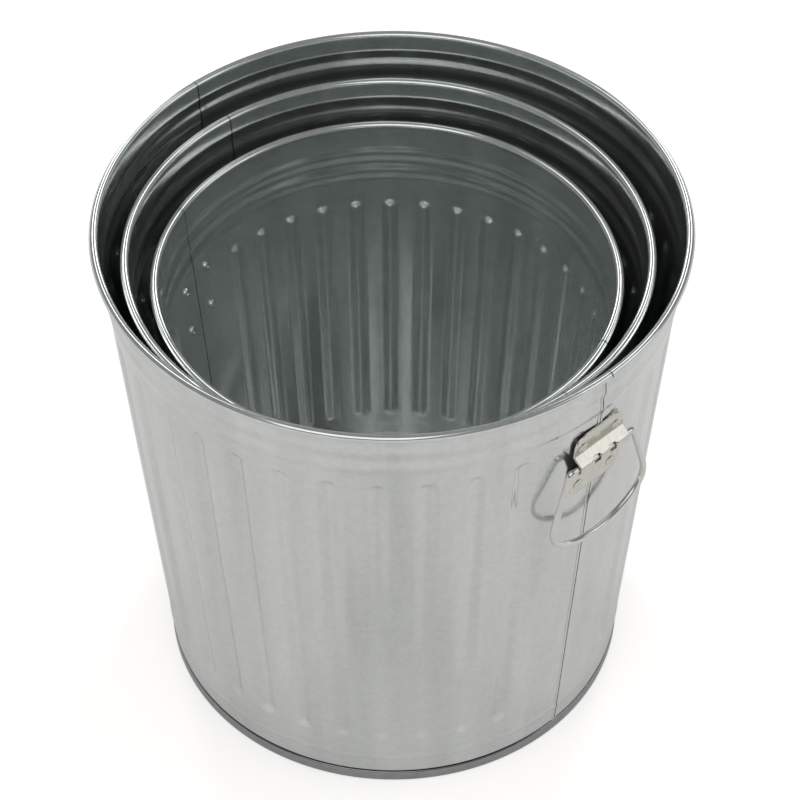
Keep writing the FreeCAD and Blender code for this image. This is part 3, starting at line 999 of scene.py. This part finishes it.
def rivet_pattern() -> bpy.types.Object:
    """One rivet: a low ringed head outside, a rolled tail inside the wall.

    Returns:
        A pattern to be removed after use, head outward along X, seated at its origin.
    """
    reach = BRACKET.rivet_head / 2
    head = [(0.0, 0.75), (0.9, 0.8), (1.35, 1.05), (1.9, 1.15), (2.4, 0.95), (2.8, 1.0), (3.3, 1.05)]
    head += [(3.9, 0.8), (reach - 0.15, 0.35), (reach - 0.3, -0.05), (2.0, -0.05), (2.0, -3.0)]
    tail = [(3.6, -3.0), (4.2, -3.4), (4.1, -4.4), (3.5, -5.1), (2.7, -5.2), (1.9, -4.7)]
    tail += [(1.2, -3.8), (0.0, -3.6)]
    vertices, faces = lathe([(r * MM, z * MM) for r, z in head + tail], RIVET_STEPS)
    piece = new_piece("rivet_pattern", vertices, [], faces)
    face_outward(piece.data)
    piece.data.transform(Matrix.Rotation(math.radians(90.0), 4, "Y"))
    smooth_by_angle(piece.data, ROUND_EDGE)
    return piece


@dataclass(frozen=True)
class BailSizes:
    """The bent wire's sizes, in millimetres."""

    wire: float = 5.0
    half_width: float = 48.0
    shoulder: float = 50.0
    drop: float = 81.5
    elbow: float = 32.4
    elbow_radius: float = 4.4
    elbow_steps: int = 8
    bend_reach: float = 8.0
    bend_steps: int = 7
    bow_start: int = 14
    bow_step: int = 4
    end_gap: float = 1.0
    sides: int = 20


BAIL = BailSizes()


@dataclass(frozen=True)
class Bail:
    """One wire bail in its bracket, placed by the wire's axis in the barrel."""

    can: CanSizes
    side: Side
    place: Matrix

    def path(self) -> list[Spot]:
        """The wire's middle line from one end in the barrel to the other, in metres."""
        b = BAIL
        corners = [(b.end_gap / 2, 0.0), (b.elbow, 0.0), (b.half_width, -b.shoulder)]
        right = rounded(corners, (b.elbow_radius,), b.elbow_steps)[:-1]
        bow, deep = [], b.drop - b.shoulder
        for degrees in range(b.bow_start, 91, b.bow_step):
            angle = math.radians(degrees)
            bow.append((b.half_width * math.cos(angle), -b.shoulder - deep * math.sin(angle)))
        last, corner, first = right[-1], Vector(corners[2]), Vector(bow[0])
        start = corner + (Vector(last) - corner).normalized() * b.bend_reach
        shares = np.linspace(0, 1, b.bend_steps)
        turn = [(1 - t) ** 2 * start + 2 * t * (1 - t) * corner + t**2 * first for t in shares]
        right += [tuple(point) for point in turn[:-1]] + bow
        line = right + [(-y, z) for y, z in reversed(right[:-1])]
        return [(0.0, y * MM, z * MM) for y, z in line]

    def build(self, metals: Metals, trees: Trees) -> None:
        """Makes the wire.

        Args:
            metals: The set's materials.
            trees: The set's geometry trees.
        """
        path = self.path()
        edges = [(k, k + 1) for k in range(len(path) - 1)]
        piece = new_piece(f"{self.can.name}_wire_{self.side.label}", path, edges, [])
        values = {"Radius": BAIL.wire / 2 * MM, "Sides": BAIL.sides, "Metal": metals.wire}
        run_tree(piece, trees.wire, values)
        face_outward(piece.data)
        node = f"{self.can.name}_bail_{self.side.label}"
        finish_piece(piece, node, "bail_wire", self.place, ROUND_EDGE, node)


class Can:
    """One can of the nest, with everything that is fixed to it."""

    def __init__(self, sizes: CanSizes) -> None:
        """Takes the can's sizes.

        Args:
            sizes: The can's sizes.
        """
        self.sizes = sizes
        turn = Matrix.Rotation(math.radians(sizes.turn), 4, "Z")
        slid = Vector((math.cos(SHIFT_TURN), math.sin(SHIFT_TURN), 0)) * sizes.shift
        self.place = Matrix.Translation((slid + Vector((0, 0, sizes.base))) * MM) @ turn

    def bracket_place(self, side: Side) -> Matrix:
        """The wall's surface behind the wire, with X outward and Z up along the wall.

        Args:
            side: Which side of the can.

        Returns:
            The place as a matrix.
        """
        height = self.sizes.height - self.sizes.bracket_drop
        out = Wall(self.sizes, self.place).radius(height)
        around = Matrix.Rotation(math.radians(side.value), 4, "Z")
        lean = Matrix.Rotation(math.radians(WALL_LEAN), 4, "Y")
        return self.place @ around @ Matrix.Translation((out * MM, 0, height * MM)) @ lean

    def build(self, metals: Metals, trees: Trees, rivet: bpy.types.Object) -> None:
        """Makes the can.

        Args:
            metals: The set's materials.
            trees: The set's geometry trees.
            rivet: The rivet that is set in every hole.
        """
        Wall(self.sizes, self.place).build(metals, trees)
        Floor(self.sizes, self.place).build(metals)
        for side in Side:
            place = self.bracket_place(side)
            bracket = Bracket(self.sizes, side, place)
            bracket.build_plate(metals)
            bracket.build_rivets(metals, trees, rivet)
            out = Matrix.Translation((self.sizes.wire_offset * MM, 0, 0))
            lean = Matrix.Rotation(math.radians(-self.sizes.bail_lean), 4, "Y")
            Bail(self.sizes, side, place @ out @ lean).build(metals, trees)


# ---------------------------------------------------------------- studio
@dataclass(frozen=True)
class LampSizes:
    """One soft lamp."""

    name: str
    place: Spot
    width: float
    height: float
    power: float


@dataclass(frozen=True)
class Studio:
    """The camera, the lamps and the pale ground."""

    camera_place: Spot = (1.1456, -1.0948, 1.8680)
    camera_ahead: Spot = (-0.5028, 0.4838, -0.7163)
    camera_up: Spot = (-0.5139, 0.4990, 0.6978)
    lens: float = 132.46
    sensor: float = 36.0
    farthest: float = 50.0
    ground_reach: float = 6.0
    ground_shade: float = 0.81
    ground_tint: Colour = (1.0, 0.975, 0.96)
    ground_dullness: float = 0.9
    ground_glow: float = 0.52
    ground_mirrored: float = 0.15
    surround_light: float = 0.5
    ceiling_rise: Point = (0.0, 0.22)
    ceiling_level: float = 0.24
    bounces: int = 12
    lamp_aim: Spot = (0, 0, 0.2)
    lamps: tuple[LampSizes, ...] = (
        LampSizes("back_left_lamp", (-1.95, 0.75, 1.80), width=0.4, height=2.2, power=8.0),
        LampSizes("back_right_lamp", (-0.8, 1.95, 1.80), width=0.4, height=2.2, power=8.0),
        LampSizes("key_lamp", (0.7, -1.21, 2.42), width=1.8, height=1.8, power=10.0),
        LampSizes("side_lamp", (1.62, 1.36, 1.84), width=1.4, height=1.4, power=5.2),
    )

    def build_camera(self) -> None:
        """Puts the camera at the photograph's angle."""
        data = bpy.data.cameras.new("camera")
        data.lens, data.sensor_width, data.clip_end = self.lens, self.sensor, self.farthest
        camera = bpy.data.objects.new("camera", data)
        bpy.context.scene.collection.objects.link(camera)
        ahead, up = Vector(self.camera_ahead).normalized(), Vector(self.camera_up)
        right = ahead.cross(up).normalized()
        axes = Matrix((right, right.cross(ahead), -ahead)).transposed()
        camera.matrix_world = Matrix.Translation(self.camera_place) @ axes.to_4x4()
        bpy.context.scene.camera = camera

    def build_lamps(self) -> None:
        """Hangs the soft lamps."""
        for lamp in self.lamps:
            data = bpy.data.lights.new(lamp.name, "AREA")
            data.shape, data.size, data.size_y = "RECTANGLE", lamp.width, lamp.height
            data.energy = lamp.power
            hung = bpy.data.objects.new(lamp.name, data)
            bpy.context.scene.collection.objects.link(hung)
            hung.location = lamp.place
            way = Vector(self.lamp_aim) - Vector(lamp.place)
            hung.rotation_euler = way.to_track_quat("-Z", "Y").to_euler()

    def build_world(self) -> None:
        """A white surround with a greyer ceiling in reflections, lighting at a plain level."""
        world = bpy.data.worlds.new("surround")
        world.use_nodes = True
        bpy.context.scene.world = world
        desk = Desk(world.node_tree)
        sky = world.node_tree.nodes["Background"]
        way = desk.node("ShaderNodeTexCoord").outputs["Generated"]
        rise = desk.node("ShaderNodeSeparateXYZ", {0: way}).outputs[2]
        path = desk.node("ShaderNodeLightPath").outputs
        shown = desk.math("MAXIMUM", path["Is Camera Ray"], path["Is Transmission Ray"])
        ceiling = desk.smooth(rise, *self.ceiling_rise)
        gloss = desk.math("MULTIPLY_ADD", ceiling, self.ceiling_level - 1.0, 1.0)
        mirrored = desk.math("MULTIPLY", path["Is Glossy Ray"], gloss)
        bright = desk.math("MAXIMUM", shown, mirrored)
        rest = desk.math("SUBTRACT", 1.0, desk.math("MAXIMUM", shown, path["Is Glossy Ray"]))
        plain = desk.math("MULTIPLY", rest, self.surround_light)
        strength = desk.math("MAXIMUM", bright, plain)
        sky.inputs["Color"].default_value = WHITE
        desk.feed(sky.inputs["Strength"], strength)

    def build_ground(self) -> None:
        """The pale floor that the set stands on."""
        r = self.ground_reach
        corners = [(-r, -r, 0), (r, -r, 0), (r, r, 0), (-r, r, 0)]
        ground = new_piece("ground", corners, [], [(0, 1, 2, 3)])
        paint = bpy.data.materials.new("pale_ground")
        paint.use_nodes = True
        desk = Desk(paint.node_tree)
        shader = paint.node_tree.nodes["Principled BSDF"]
        shade = tuple(self.ground_shade * tint for tint in self.ground_tint)
        shader.inputs["Base Color"].default_value = (*shade, 1.0)
        shader.inputs["Roughness"].default_value = self.ground_dullness
        shader.inputs["Specular IOR Level"].default_value = 0.0
        path = desk.node("ShaderNodeLightPath").outputs
        shown = desk.math("MAXIMUM", path["Is Camera Ray"], path["Is Transmission Ray"])
        mirrored = desk.math("MULTIPLY", path["Is Glossy Ray"], self.ground_mirrored)
        glow = desk.math("MULTIPLY", desk.math("MAXIMUM", shown, mirrored), self.ground_glow)
        shader.inputs["Emission Color"].default_value = WHITE
        desk.feed(shader.inputs["Emission Strength"], glow)
        ground.data.materials.append(paint)

    def build(self) -> None:
        """Sets up the whole studio."""
        self.build_camera()
        self.build_lamps()
        self.build_world()
        self.build_ground()
        scene = bpy.context.scene
        scene.view_settings.view_transform = "Standard"
        scene.cycles.max_bounces = scene.cycles.glossy_bounces = self.bounces


def main() -> None:
    """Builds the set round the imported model."""
    logging.basicConfig(level=logging.INFO, format="%(name)s: %(message)s")
    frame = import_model()
    Studio().build()
    grain = grain_group()
    finishes = (ZINC_SHEET, FLOOR_SHEET, PRESSED_PLATE, BRIGHT_WIRE, RIVET_STEEL)
    metals = Metals(*(finish.material(grain) for finish in finishes))
    trees = Trees(flute_tree(), wire_tree(), rivet_tree())
    rivet = rivet_pattern()
    for sizes in CANS:
        Can(sizes).build(metals, trees, rivet)
    bpy.data.objects.remove(rivet)
    log.info("%d packed nodes dressed", len(frame["nodes"]))


if __name__ == "__main__":
    main()
